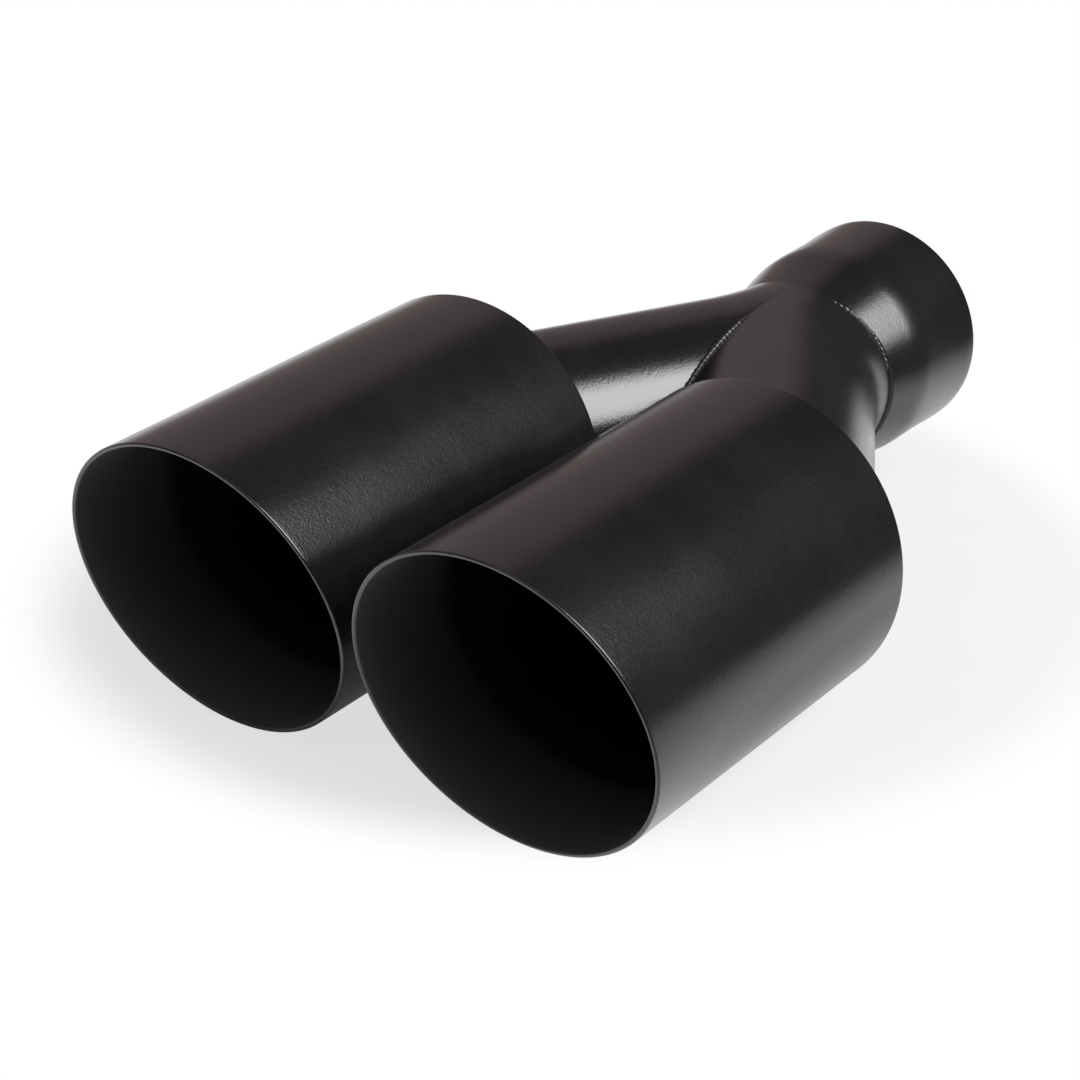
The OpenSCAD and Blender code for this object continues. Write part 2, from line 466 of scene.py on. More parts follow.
def mouth_painted_light_group():
    """Masks inside a tip: the wall itself, the painted light that fades with depth behind the slash, and the
    painted shade beyond it.
    """
    group, given, put = new_group(
        "painted_light_reach", ["Mouth Y", "Slope", "Reach", "Fade", "Centre X", "Inner Radius"],
        ["Inside", "Painted Falloff", "Painted Shade"])
    place = group.nodes.new("ShaderNodeTexCoord").outputs["Object"]
    parts = group.nodes.new("ShaderNodeSeparateXYZ")
    group.links.new(place, parts.inputs["Vector"])
    # Depth behind the slash sets where the painted light inside a mouth fades into painted shade
    rise = reckon(group, "MULTIPLY", parts.outputs["Z"], given.outputs["Slope"])
    depth = reckon(group, "ADD", parts.outputs["Y"], rise)
    depth = reckon(group, "SUBTRACT", depth, given.outputs["Mouth Y"])
    shade_edge_wander = varied(group, noise(group, place, SHADE_EDGE_SCALE, detail=2.0), -SHADE_EDGE_REACH, SHADE_EDGE_REACH)
    depth = reckon(group, "ADD", depth, shade_edge_wander)
    along = reckon(group, "DIVIDE", depth, given.outputs["Reach"])
    group.links.new(ranged(group, along, 0.0, 1.0, 0.0, 1.0), put.inputs["Painted Falloff"])
    beyond = reckon(group, "SUBTRACT", depth, given.outputs["Reach"])
    beyond = reckon(group, "DIVIDE", beyond, given.outputs["Fade"])
    group.links.new(ranged(group, beyond, 0.0, 1.0, 0.0, 1.0, smooth=True), put.inputs["Painted Shade"])
    across = reckon(group, "SUBTRACT", parts.outputs["X"], given.outputs["Centre X"])
    upward = reckon(group, "POWER", parts.outputs["Z"], 2.0)
    squares = reckon(group, "ADD", reckon(group, "POWER", across, 2.0), upward)
    radius = reckon(group, "SQRT", squares, 0.0)
    inside = reckon(group, "LESS_THAN", radius, given.outputs["Inner Radius"])
    group.links.new(inside, put.inputs["Inside"])
    return group


def place_group(tree, name, maker, **values):
    """A shader group, made once and shared, with the values of its inputs."""
    node = tree.nodes.new("ShaderNodeGroup")
    node.node_tree = bpy.data.node_groups.get(name) or maker()
    set_inputs(node, **values)
    return node


def blended(tree, mask, first, second):
    """A Mix node, whose inputs 6 and 7 and output 2 are colours, each a socket or three numbers."""
    node = tree.nodes.new("ShaderNodeMix")
    node.data_type = "RGBA"
    tree.links.new(mask, node.inputs["Factor"])
    for socket, value in ((node.inputs[6], first), (node.inputs[7], second)):
        if isinstance(value, bpy.types.NodeSocket):
            tree.links.new(value, socket)
        else:
            socket.default_value = (*value, 1.0)
    return node.outputs[2]


def coat_material(name, finish, tip_side=None):
    """Satin black powder coat, made once. A tip's own version paints light on the inner wall near the mouth,
    fading to painted shade deeper in.
    """
    if name in bpy.data.materials:
        return bpy.data.materials[name]
    coat = wanted("coat")
    material = bpy.data.materials.new(name)
    material.use_nodes = True
    tree = material.node_tree
    shader = tree.nodes["Principled BSDF"]
    shader.inputs["IOR"].default_value = coat.gloss_index
    powder = place_group(tree, "powder_coat", powder_coat_group,
                         Grain_Size=coat.grain_size, Peel_Size=coat.peel_size)
    edge = place_group(tree, "edge_powder_and_highlight", edge_line_and_highlight_group,
                       Width=coat.edge_width, Amount=finish.edge_amount)
    dark = tuple(channel * DARK_SHADE for channel in coat.colour)
    light = tuple(channel * LIGHT_SHADE for channel in coat.colour)
    colour = blended(tree, ranged(tree, powder.outputs["Shade"], *SHADE_SPAN, 0.0, 1.0), dark, light)
    # A paler line along sharp edges: partly powder drawn back, partly a painted highlight
    colour = blended(tree, edge.outputs["Mask"], colour, coat.edge_powder_and_highlight_colour)
    sheen = ranged(tree, powder.outputs["Sheen"], *SHEEN_SPAN, finish.sheen_low, finish.sheen_high)
    if tip_side is not None:
        centre_x, radius, front_y, _ = tip_place(tip_side)
        sizes = wanted("tips")
        slope = math.tan(sizes.slash_angle)
        reach = place_group(
            tree, "painted_light_reach", mouth_painted_light_group, Mouth_Y=front_y + radius * slope, Slope=slope,
            Reach=sizes.painted_light_reach, Fade=sizes.painted_light_fade, Centre_X=centre_x,
            Inner_Radius=radius - sizes.sheet * (1 - coat.rim_painted_light_share))
        # Inside a tip: painted light near the mouth, dimming with depth, then painted shade deep inside
        inside = blended(tree, reach.outputs["Painted Falloff"], coat.inside_painted_light_colour, coat.inside_painted_falloff_colour)
        inside = blended(tree, reach.outputs["Painted Shade"], inside, coat.inside_painted_shade_colour)
        colour = blended(tree, reach.outputs["Inside"], colour, inside)
        duller = reckon(tree, "MULTIPLY", reach.outputs["Inside"], coat.inside_dullness)
        sheen = reckon(tree, "ADD", sheen, duller)
    tree.links.new(colour, shader.inputs["Base Color"])
    tree.links.new(sheen, shader.inputs["Roughness"])
    bump = tree.nodes.new("ShaderNodeBump")
    bump.inputs["Distance"].default_value = finish.grain_depth
    tree.links.new(powder.outputs["Height"], bump.inputs["Height"])
    tree.links.new(bump.outputs["Normal"], shader.inputs["Normal"])
    return material


# Pieces

def make_tip(side):
    """A round tube, slashed at the mouth, with both rims rounded as sheet edges are."""
    sizes = wanted("tips")
    centre_x, radius, front_y, back_y = tip_place(side)
    mouth_y = front_y + radius * math.tan(sizes.slash_angle)
    inner = radius - sizes.sheet
    start = front_y - radius
    section = [(radius, start), (radius, back_y), (inner, back_y), (inner, start)]
    piece = turned(named(side, "tip_tube"), section, centre_x)
    open_for_edit(piece)
    slash = (0, math.cos(sizes.slash_angle), math.sin(sizes.slash_angle))
    cut((centre_x, mouth_y, 0), slash)
    close_wall(piece, lambda place: True)
    face_outwards()
    round_sharp_edges(piece, sizes.rim_rounding, sizes.rim_segments)
    cut((centre_x, mouth_y + sizes.rim_support, 0), slash, keep_both=True)
    cut((centre_x, back_y - sizes.rim_support, 0), (0, 1, 0), keep_both=True)
    close_edit()
    smooth_and_weight(piece)
    material = coat_material(named(side, "tip_coat_and_painted_light"), TUBE_FINISH, tip_side=side)
    hand_over(piece, COAT_SLOT, material, named(side, "tip"))


def make_back_plate(side):
    """A pressed disc with a turned rim and a hole for the leaning branch."""
    sizes = wanted("plates")
    low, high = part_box(named(side, "back_plate"))
    centre_x = (low.x + high.x) / 2
    radius = (high.x - low.x) / 2
    gauge = sizes.gauge
    centre = (radius - sizes.corner, high.y - sizes.corner)
    outer_corner = corner(centre, sizes.corner, math.pi / 2, 0, sizes.outer_steps)
    inner_corner = corner(centre, sizes.corner - gauge, 0, math.pi / 2, sizes.inner_steps)
    hub = radius * sizes.hub_share
    section = [(hub, high.y)] + outer_corner
    section += [(radius, low.y), (radius - gauge, low.y)]
    section += inner_corner + [(hub, high.y - gauge)]
    piece = turned(named(side, "plate"), section, centre_x)
    bpy.ops.mesh.primitive_cylinder_add(
        vertices=TURN_STEPS, radius=branch_place(side)[0] + sizes.branch_fit,
        depth=sizes.punch_length * radius,
        location=vertex_point() + run_direction(side) * sizes.punch_reach * radius,
        rotation=(math.pi / 2, 0, side * wanted("pipes").branch_angle))
    punch = bpy.context.object
    apply_modifier(piece, "BOOLEAN", "branch_hole", object=punch, operation="DIFFERENCE", solver="EXACT")
    bpy.data.objects.remove(punch)
    smooth_and_weight(piece, angle=math.radians(30))
    hand_over(piece, COAT_SLOT, coat_material("plate_powder_coat", PLATE_FINISH), named(side, "back_plate"))


def make_branch(side):
    """A tube bent from the neck and run straight to its tip, sawn on the centre plane."""
    pipes = wanted("pipes")
    radius, inner_end_y = branch_place(side)
    bend_y = vertex_point().y + pipes.bend_radius * math.tan(pipes.branch_angle / 2)
    reach = (bend_y - inner_end_y) / math.cos(pipes.branch_angle) + radius
    deselect()
    bpy.ops.mesh.primitive_circle_add(
        vertices=TURN_STEPS, radius=radius, location=(0, bend_y, 0), rotation=(math.pi / 2, 0, 0))
    piece = bpy.context.object
    piece.name = named(side, "branch_pipe")
    bpy.ops.object.transform_apply(location=True, rotation=True, scale=True)
    open_for_edit(piece)
    bpy.ops.mesh.primitive_circle_add(
        vertices=TURN_STEPS, radius=radius - pipes.sheet, location=(0, bend_y, 0),
        rotation=(math.pi / 2, 0, 0))
    bpy.ops.mesh.select_all(action="SELECT")
    bpy.ops.mesh.spin(
        steps=pipes.bend_steps, angle=-side * pipes.branch_angle,
        center=(side * pipes.bend_radius, bend_y, 0), axis=(0, 0, 1))
    run = run_direction(side) * (reach / pipes.run_steps)
    for _ in range(pipes.run_steps):
        bpy.ops.mesh.extrude_region_move(TRANSFORM_OT_translate={"value": run})
    cut((0, 0, 0), (side, 0, 0))
    cut((0, neck_y(), 0), saddle_normal(side))
    cut((0, inner_end_y, 0), (0, 1, 0))
    close_wall(piece, lambda place: place.y < inner_end_y + MM)
    close_wall(piece, lambda place: place.y >= inner_end_y + MM)
    face_outwards()
    close_edit()
    smooth_and_weight(piece)
    hand_over(piece, COAT_SLOT, coat_material("pipe_powder_coat", PIPE_FINISH), named(side, "branch"))


def make_collar():
    """The inlet tube: opened mouth, straight bore, swaged cone and a neck with a saddle cut into it."""
    sizes = wanted("collar")
    low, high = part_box("inlet_collar")
    bore_radius, bore_length = inlet_bore()
    gauge = sizes.sheet
    outer = bore_radius + gauge
    mouth = high.z
    neck = branch_place(LEFT)[0]
    slope = sizes.swage_angle
    arc_radius = sizes.swage_rounding / math.sin(slope)
    arc_centre = (outer - arc_radius, -bore_length)
    outside = corner(arc_centre, arc_radius, -slope, 0, sizes.rounding_steps)
    inside = corner(arc_centre, arc_radius - gauge, 0, -slope, sizes.rounding_steps)
    swage_y = outside[0][1] - (outside[0][0] - neck) / math.tan(slope)
    front = low.y - sizes.saddle_support
    section = [(neck, front), (neck, swage_y)] + outside
    section += [(outer, 0), (mouth, sizes.mouth_slope), (mouth, high.y)]
    section += [(mouth - gauge, high.y), (mouth - gauge, sizes.mouth_slope), (bore_radius, 0)]
    section += inside + [(neck - gauge, swage_y + gauge * math.tan(slope / 2)), (neck - gauge, front)]
    piece = turned("inlet_collar_tube", section, 0.0)
    open_for_edit(piece)
    for side in (LEFT, RIGHT):
        cut((0, low.y, 0), -saddle_normal(side))
    close_wall(piece, lambda place: True)
    face_outwards()
    round_sharp_edges(piece, sizes.rim_rounding, sizes.rim_segments, from_y=0)
    close_edit()
    smooth_and_weight(piece)
    hand_over(piece, COAT_SLOT, coat_material("collar_powder_coat", TUBE_FINISH), "inlet_collar")


def puddle_shape(radius, pitch):
    """One frozen puddle of weld: a ball flattened along the seam, its back edge low."""
    deselect()
    bpy.ops.mesh.primitive_uv_sphere_add(
        segments=PUDDLE_SEGMENTS, ring_count=PUDDLE_RINGS, radius=radius)
    puddle = bpy.context.object
    puddle.name = "weld_puddle"
    puddle.scale = (pitch * wanted("welds").puddle_length / radius, 1.0, 1.0)
    puddle.rotation_euler = (0, PUDDLE_LEAN, 0)
    bpy.ops.object.transform_apply(location=False, rotation=True, scale=True)
    return puddle


def lay_bead(name, path, radius, pitch, closed):
    """Copies a puddle along a path of (place, outward direction) and melts the row into one bead."""
    puddle = puddle_shape(radius, pitch)
    copies = []
    count = len(path)
    for number, (place, outward) in enumerate(path):
        before = path[number - 1][0] if closed or number else place
        after = path[(number + 1) % count][0] if closed or number < count - 1 else place
        along = (after - before).normalized()
        across = outward.cross(along).normalized()
        up = along.cross(across)
        turn = Matrix((along, across, up)).transposed().to_4x4()
        copy = bpy.data.objects.new(name, puddle.data.copy())
        bpy.context.collection.objects.link(copy)
        swell = 1.0
        for amount, step in SWELLS:
            swell += amount * math.sin(number * step)
        if not closed:
            swell *= min(1.0, END_SIZE + END_GAIN * min(number, count - 1 - number))
        copy.data.transform(Matrix.Translation(place) @ turn @ Matrix.Diagonal((1, swell, swell, 1)))
        copies.append(copy)
    bpy.data.objects.remove(puddle)
    deselect()
    for copy in copies:
        copy.select_set(True)
    bpy.context.view_layer.objects.active = copies[0]
    bpy.ops.object.join()
    bead = bpy.context.object
    bead.name = name
    sizes = wanted("welds")
    apply_modifier(bead, "REMESH", "melt", mode="VOXEL", voxel_size=sizes.melt_size, adaptivity=0.0)
    apply_modifier(bead, "SMOOTH", "coat_over", factor=0.5, iterations=2)
    open_for_edit(bead)
    face_outwards()
    close_edit()
    pick(bead)
    bpy.ops.object.shade_smooth()
    return bead


def outwards_round(steps):
    """Directions away from the Y axis, once round it in even steps and back to the first one."""
    turns = [2 * math.pi * step / steps for step in range(steps + 1)]
    return [Vector((math.cos(turn), 0, math.sin(turn))) for turn in turns]


def spaced(fine, pitch):
    """Every point of a finely stepped path that lies a pitch further along it than the last."""
    path = []
    walked = 0.0
    for before, after in zip(fine, fine[1:]):
        walked += (after[0] - before[0]).length
        if walked >= pitch:
            walked = 0.0
            path.append(after)
    return path


def share_between(value, low, high):
    """0 at the low value, 1 at the high one, and even in between."""
    return min(1.0, max(0.0, (value - low) / (high - low)))


def make_neck_weld():
    """The bead along the saddle, dressed flush on top and in its lower half."""
    sizes = wanted("welds")
    radius = branch_place(LEFT)[0]
    slope = math.tan(wanted("collar").saddle_angle)
    front_y = neck_y()
    fine = []
    for outward in outwards_round(sizes.path_steps):
        across = abs(outward.x) - (sizes.neck_left_delay if outward.x < 0 else 0.0)
        bared = share_between(across, sizes.neck_flush, sizes.neck_full)
        above = share_between(outward.z, sizes.neck_low, sizes.neck_high)
        centre_radius = radius - sizes.neck_sink + (bared * above - 1) * sizes.neck_radius
        seam_y = front_y + abs(outward.x) * radius * slope - sizes.neck_radius / 2
        fine.append((outward * centre_radius + Vector((0, seam_y, 0)), outward))
    path = spaced(fine, sizes.pitch)
    bead = lay_bead("neck_bead", path, sizes.neck_radius, sizes.pitch, closed=True)
    hand_over_bead(bead, "neck_weld")


def make_crotch_weld():
    """The bead down the seam where the two branches meet, over the crotch and under it."""
    sizes = wanted("welds")
    pipes = wanted("pipes")
    radius = branch_place(LEFT)[0]
    top_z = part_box("crotch_weld")[1].z
    vertex = vertex_point()
    lean = math.sin(pipes.branch_angle)

    def seam(turn):
        return Vector((0, vertex.y - radius * math.cos(turn) / lean, radius * math.sin(turn)))

    last = math.asin(min(1.0, top_z / radius))
    turns = [-last + 2 * last * step / sizes.path_steps for step in range(sizes.path_steps + 1)]
    fine = []
    for before, after in zip(turns, turns[1:]):
        along = (seam(after) - seam(before)).normalized()
        outward = along.cross(Vector((1, 0, 0)))
        fine.append((seam(after) - outward * sizes.crotch_sink, outward))
    path = spaced(fine, sizes.pitch)
    bead = lay_bead("crotch_bead", path, sizes.crotch_radius, sizes.pitch, closed=False)
    hand_over_bead(bead, "crotch_weld")


def make_branch_weld(side):
    """The bead round a branch where it enters its back plate."""
    sizes = wanted("welds")
    radius = branch_place(side)[0]
    front_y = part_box(named(side, "branch_weld"))[0].y
    direction = run_direction(side)
    vertex = vertex_point()
    reach = (vertex.y - front_y) / -direction.y
    centre = vertex + direction * reach
    stretch = 1.0 / -direction.y
    fine = []
    for outward in outwards_round(sizes.path_steps):
        place = centre + Vector((outward.x * radius * stretch, 0, outward.z * radius))
        fine.append((place, (outward + Vector((0, 1, 0))).normalized()))
    path = spaced(fine, sizes.pitch)
    bead = lay_bead(named(side, "branch_bead"), path, sizes.branch_radius, sizes.pitch, closed=True)
    hand_over_bead(bead, named(side, "branch_weld"))


def make_edge_weld(side):
    """The bead in the groove between a tip and its back plate."""
    sizes = wanted("welds")
    low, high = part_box(named(side, "edge_weld"))
    centre = Vector(((low.x + high.x) / 2, high.y - sizes.edge_radius, 0))
    radius = (high.x - low.x) / 2
    reach = radius - sizes.edge_radius * EDGE_SINK
    outwards = outwards_round(round(2 * math.pi * radius / sizes.pitch))
    path = [(centre + outward * reach, outward) for outward in outwards[:-1]]
    bead = lay_bead(named(side, "edge_bead"), path, sizes.edge_radius, sizes.pitch, closed=True)
    hand_over_bead(bead, named(side, "edge_weld"))


# Stage

def from_angles(azimuth, elevation):
    """A direction from an azimuth, measured from behind the part towards its right, and a height."""
    flat = math.cos(elevation)
    return Vector((math.sin(azimuth) * flat, math.cos(azimuth) * flat, math.sin(elevation)))


def add_softbox(name, azimuth, elevation, distance, width, height, radiance, roll):
    """A rectangular lamp that faces the part, brightest in its middle and soft at its edges."""
    low, high = CAD_BOX
    centre = Vector(((low[0] + high[0]) / 2, (low[1] + high[1]) / 2, 0))
    away = from_angles(azimuth, elevation)
    deselect()
    bpy.ops.object.light_add(type="AREA", location=centre + away * distance)
    lamp = bpy.context.object
    lamp.name = name
    lamp.rotation_euler = (away.to_track_quat("Z", "Y") @ Quaternion((0, 0, 1), roll)).to_euler()
    lamp.data.shape = "RECTANGLE"
    lamp.data.size = width
    lamp.data.size_y = height
    lamp.data.energy = radiance * width * height * math.pi
    lamp.data.use_nodes = True
    tree = lamp.data.node_tree
    # Parametric runs from 0 to 1 across the lamp and along it
    spot = tree.nodes.new("ShaderNodeNewGeometry").outputs["Parametric"]
    centred = reckon_vector(tree, "SUBTRACT", spot, (0.5, 0.5, 0.0))
    sides = tree.nodes.new("ShaderNodeSeparateXYZ")
    tree.links.new(reckon_vector(tree, "ABSOLUTE", centred), sides.inputs["Vector"])
    stage = wanted("stage")
    across = ranged(tree, sides.outputs["X"], stage.lamp_core, 0.5, 1.0, 0.0, smooth=True)
    along = ranged(tree, sides.outputs["Y"], stage.lamp_core, 0.5, 1.0, 0.0, smooth=True)
    tree.links.new(reckon(tree, "MULTIPLY", across, along), tree.nodes["Emission"].inputs["Strength"])


def add_camera():
    stage = wanted("stage")
    back = from_angles(math.pi - stage.azimuth, stage.elevation)
    across = Vector((math.cos(stage.azimuth), math.sin(stage.azimuth), 0))
    upward = back.cross(across)
    right = math.cos(stage.roll) * across + math.sin(stage.roll) * upward
    up = math.cos(stage.roll) * upward - math.sin(stage.roll) * across
    deselect()
    bpy.ops.object.camera_add(location=stage.camera_place)
    camera = bpy.context.object
    turn = Matrix((right, up, back)).transposed()
    camera.rotation_euler = turn.to_euler()
    camera.data.sensor_width = 36.0
    camera.data.sensor_fit = "HORIZONTAL"
    camera.data.lens = stage.lens
    camera.data.clip_start = 0.01
    camera.data.clip_end = 100.0
    bpy.context.scene.camera = camera


def floor_material():
    """White card that keeps the part's shadow, turns plain white further out and thins out to nothing."""
    stage = wanted("stage")
    material = bpy.data.materials.new("white_card")
    material.use_nodes = True
    tree = material.node_tree
    shader = tree.nodes["Principled BSDF"]
    set_inputs(shader, Roughness=0.9, Specular_IOR_Level=0.0)
    place = tree.nodes.new("ShaderNodeTexCoord").outputs["Object"]
    shade = varied(tree, noise(tree, place, CARD_SCALE, detail=3.0, roughness=0.6), 0.0, 1.0)
    tree.links.new(blended(tree, shade, *CARD_SHADES), shader.inputs["Base Color"])
    middle = (stage.card_place[0], stage.card_place[1], CAD_BOX[0][2])
    distance = reckon_vector(tree, "DISTANCE", place, middle)
    near = ranged(tree, distance, stage.shadow_reach, stage.shadow_end, 1.0, 0.0, smooth=True)
    glow = tree.nodes.new("ShaderNodeEmission")
    ray = tree.nodes.new("ShaderNodeLightPath")
    # Seen straight or in the coat, each kind of ray keeps its own share of the card's shading
    whites = []
    for kind, share in (("Is Camera Ray", stage.shadow_share), ("Is Glossy Ray", stage.reflected_share)):
        plain = reckon(tree, "SUBTRACT", 1.0, reckon(tree, "MULTIPLY", near, share))
        whites.append(reckon(tree, "MULTIPLY", plain, ray.outputs[kind]))
    white = reckon(tree, "MAXIMUM", *whites)
    card = mixed(tree, white, shader.outputs["BSDF"], glow.outputs["Emission"])
    gone = ranged(tree, distance, stage.card_core, stage.floor_radius, 0.0, 1.0, smooth=True)
    clear = tree.nodes.new("ShaderNodeBsdfTransparent")
    card = mixed(tree, gone, card, clear.outputs["BSDF"])
    tree.links.new(card, tree.nodes["Material Output"].inputs["Surface"])
    return material


def make_floor():
    stage = wanted("stage")
    deselect()
    bpy.ops.mesh.primitive_circle_add(
        vertices=CARD_STEPS, radius=stage.floor_radius, fill_type="NGON",
        location=(stage.card_place[0], stage.card_place[1], CAD_BOX[0][2]))
    floor = bpy.context.object
    floor.name = "studio_floor"
    bpy.ops.object.transform_apply(location=True, rotation=True, scale=True)
    floor.data.materials.append(floor_material())


def mask_of_direction(tree, direction, axis, level, blur):
    """1 where the direction leans towards the axis by more than the level, with a soft border."""
    lean = reckon_vector(tree, "DOT_PRODUCT", direction, axis.normalized())
    return ranged(tree, lean, level - blur, level + blur, 0.0, 1.0, smooth=True)


def light_world():
    """A dim room with a pale wall on the left and a white sweep under and behind the part."""
    stage = wanted("stage")
    world = bpy.data.worlds.new("studio")
    bpy.context.scene.world = world
    world.use_nodes = True
    tree = world.node_tree
    direction = tree.nodes.new("ShaderNodeTexCoord").outputs["Generated"]
    wall_axis = from_angles(stage.wall_azimuth, stage.wall_elevation)
    wall = mask_of_direction(tree, direction, wall_axis, math.cos(stage.wall_spread), stage.wall_blur)
    below = mask_of_direction(
        tree, direction, Vector((0, 0, -1)), math.sin(stage.sweep_depth), stage.sweep_blur)
    on_left = mask_of_direction(
        tree, direction, Vector(stage.sweep_side), stage.sweep_level, stage.side_blur)
    sweep = reckon(tree, "MULTIPLY", below, on_left)
    studio = blended(tree, wall, stage.room_colour, stage.wall_colour)
    studio = blended(tree, sweep, studio, stage.sweep_colour)
    light = tree.nodes["Background"]
    tree.links.new(studio, light.inputs["Color"])
    white = tree.nodes.new("ShaderNodeBackground")
    white.inputs["Color"].default_value = (1, 1, 1, 1)
    path = tree.nodes.new("ShaderNodeLightPath")
    seen = reckon(tree, "MAXIMUM", path.outputs["Is Camera Ray"],
                  reckon(tree, "MULTIPLY", path.outputs["Is Glossy Ray"], sweep))
    backdrop = mixed(tree, seen, light.outputs["Background"], white.outputs["Background"])
    tree.links.new(backdrop, tree.nodes["World Output"].inputs["Surface"])


# Sizes and colours that a user would change

def a_length(name, description, default):
    return FloatProperty(name=name, description=description, default=default, unit="LENGTH", precision=5)


def an_angle(name, description, degrees):
    return FloatProperty(name=name, description=description, default=math.radians(degrees), subtype="ANGLE")


def a_number(name, description, default):
    return FloatProperty(name=name, description=description, default=default, precision=4)


def a_count(name, description, default):
    return IntProperty(name=name, description=description, default=default)


def a_colour(name, description, default):
    return FloatVectorProperty(name=name, description=description, default=default, size=3, subtype="COLOR")


class ExhaustTipSizes(PropertyGroup):
    slash_angle: an_angle("Slash Angle", "Slope of the mouths away from square", 14.3)
    sheet: a_length("Sheet", "Thickness of the tips' sheet", 1.3 * MM)
    rim_rounding: a_length("Rim Rounding", "Radius at the edges of the sheet", 0.62 * MM)
    rim_segments: a_count("Rim Segments", "Steps in a rim's rounding", 6)
    rim_support: a_length("Rim Support", "Distance from a rim to the loop that holds its shading", 2 * MM)
    # How far the painted light reaches into a mouth, and the length over which it fades into painted shade
    painted_light_reach: a_length("Painted Light Reach", "How far the powder coat reaches into a mouth", 31 * MM)
    painted_light_fade: a_length("Painted Light Fade", "Length over which the powder coat ends", 10 * MM)


class ExhaustPlateSizes(PropertyGroup):
    gauge: a_length("Gauge", "Thickness of a back plate", 1.5 * MM)
    corner: a_length("Corner", "Outer radius of the turned rim's corner", 3 * MM)
    branch_fit: a_length("Branch Fit", "Clearance round a branch in its plate", 0.3 * MM)
    outer_steps: a_count("Outer Steps", "Steps in the outer corner of the turned rim", 8)
    inner_steps: a_count("Inner Steps", "Steps in the inner corner of the turned rim", 6)
    hub_share: a_number("Hub", "Where the disc's section starts, as a share of its radius", 0.2)
    punch_length: a_number("Punch Length", "Length of the hole's punch, in radii of the disc", 4.0)
    punch_reach: a_number("Punch Reach", "How far out the punch stands, in radii of the disc", 2.5)


class ExhaustPipeSizes(PropertyGroup):
    sheet: a_length("Wall", "Thickness of a branch's wall", 1.3 * MM)
    branch_angle: an_angle("Branch Angle", "Angle between a branch and the inlet's centre line", 29.35)
    bend_radius: a_length("Bend Radius", "Centre line radius of a branch's bend", 70 * MM)
    bend_steps: a_count("Bend Steps", "Steps in a branch's bend", 24)
    run_steps: a_count("Run Steps", "Steps in a branch's straight run", 12)


class ExhaustCollarSizes(PropertyGroup):
    sheet: a_length("Wall", "Thickness of the collar's wall", 1.3 * MM)
    swage_rounding: a_length("Swage Rounding", "Length of the rounding from bore to cone", 8 * MM)
    swage_angle: an_angle("Swage Angle", "Slope of the swage's cone", 11.4)
    rounding_steps: a_count("Rounding Steps", "Steps in the swage's rounding", 12)
    saddle_angle: an_angle("Saddle Angle", "Slope of the saddle cut into the neck on either side", 21)
    saddle_support: a_length("Saddle Support", "Length of neck that the saddle cuts away in front", 2 * MM)
    mouth_slope: a_length("Mouth Slope", "Length of the slope up to the opened mouth", 8 * MM)
    rim_rounding: a_length("Rim Rounding", "Radius at the edges of the sheet", 0.45 * MM)
    rim_segments: a_count("Rim Segments", "Steps in a rim's rounding", 4)


class ExhaustWeldSizes(PropertyGroup):
    pitch: a_length("Pitch", "Distance from one puddle to the next", 1.7 * MM)
    puddle_length: a_number("Puddle Length", "Half the length of a puddle, as a share of the pitch", 0.85)
    melt_size: a_length("Melt Size", "Cell in which the puddles run together", 0.22 * MM)
    path_steps: a_count("Path Steps", "Fine steps in which a seam is walked", 720)
    neck_radius: a_length("Neck Bead", "Section radius of the neck bead", 0.95 * MM)
    neck_sink: a_length("Neck Sink", "Depth of the neck bead's middle in the pipes", 0.3 * MM)
    neck_flush: a_number("Neck Flush", "Share of the way out where the neck bead emerges", 0.22)
    neck_full: a_number("Neck Full", "Share of the way out where it stands in full", 0.55)
    neck_left_delay: a_number("Neck Left Delay", "How much further out it emerges on the left", 0.35)
    neck_high: a_number("Neck High", "Share of the height from which it stands in full", 0.38)
    neck_low: a_number("Neck Low", "Share of the height below which it is dressed flush", 0.05)
    crotch_radius: a_length("Crotch Bead", "Section radius of the crotch bead", 0.9 * MM)
    crotch_sink: a_length("Crotch Sink", "How deep the crotch bead's middle lies under the seam", 0.15 * MM)
    branch_radius: a_length("Branch Bead", "Section radius of the bead round a branch", 1.6 * MM)
    edge_radius: a_length("Edge Bead", "Section radius of the bead between tip and plate", 1.4 * MM)


class ExhaustCoat(PropertyGroup):
    colour: a_colour("Coat", "Colour of the powder coat", (0.0105, 0.0096, 0.0107))
    # The edge colour is partly powder drawn back from an edge and partly a painted highlight
    edge_powder_and_highlight_colour: a_colour("Edge", "Colour where the powder draws back from an edge", (0.035, 0.0335, 0.034))
    # Painted light just inside a mouth, its dimmer fade, and the painted shade deep inside
    inside_painted_light_colour: a_colour("Inside", "Colour of the coat just inside a mouth", (0.125, 0.12, 0.125))
    inside_painted_falloff_colour: a_colour("Painted Falloff Colour", "Colour where that coat thins out", (0.08, 0.076, 0.082))
    inside_painted_shade_colour: a_colour("Deep Inside", "Colour where the powder doesn't reach", (0.013, 0.009, 0.015))
    inside_dullness: a_number("Inside Dullness", "How much rougher the inside of a tip is", 0.3)
    # Share of a rim's thickness painted with the same light as the inside of the mouth
    rim_painted_light_share: a_number("Rim Share", "Share of a rim's thickness that is coated as the inside is", 0.1)
    gloss_index: a_number("Gloss Index", "Refractive index of the coat", 1.78)
    grain_size: a_length("Grain Size", "Size of the powder's grain", 0.7 * MM)
    peel_size: a_length("Peel Size", "Size of the coat's orange peel", 1.8 * MM)
    edge_width: a_length("Edge Width", "Width of the line at a sharp edge", 0.4 * MM)


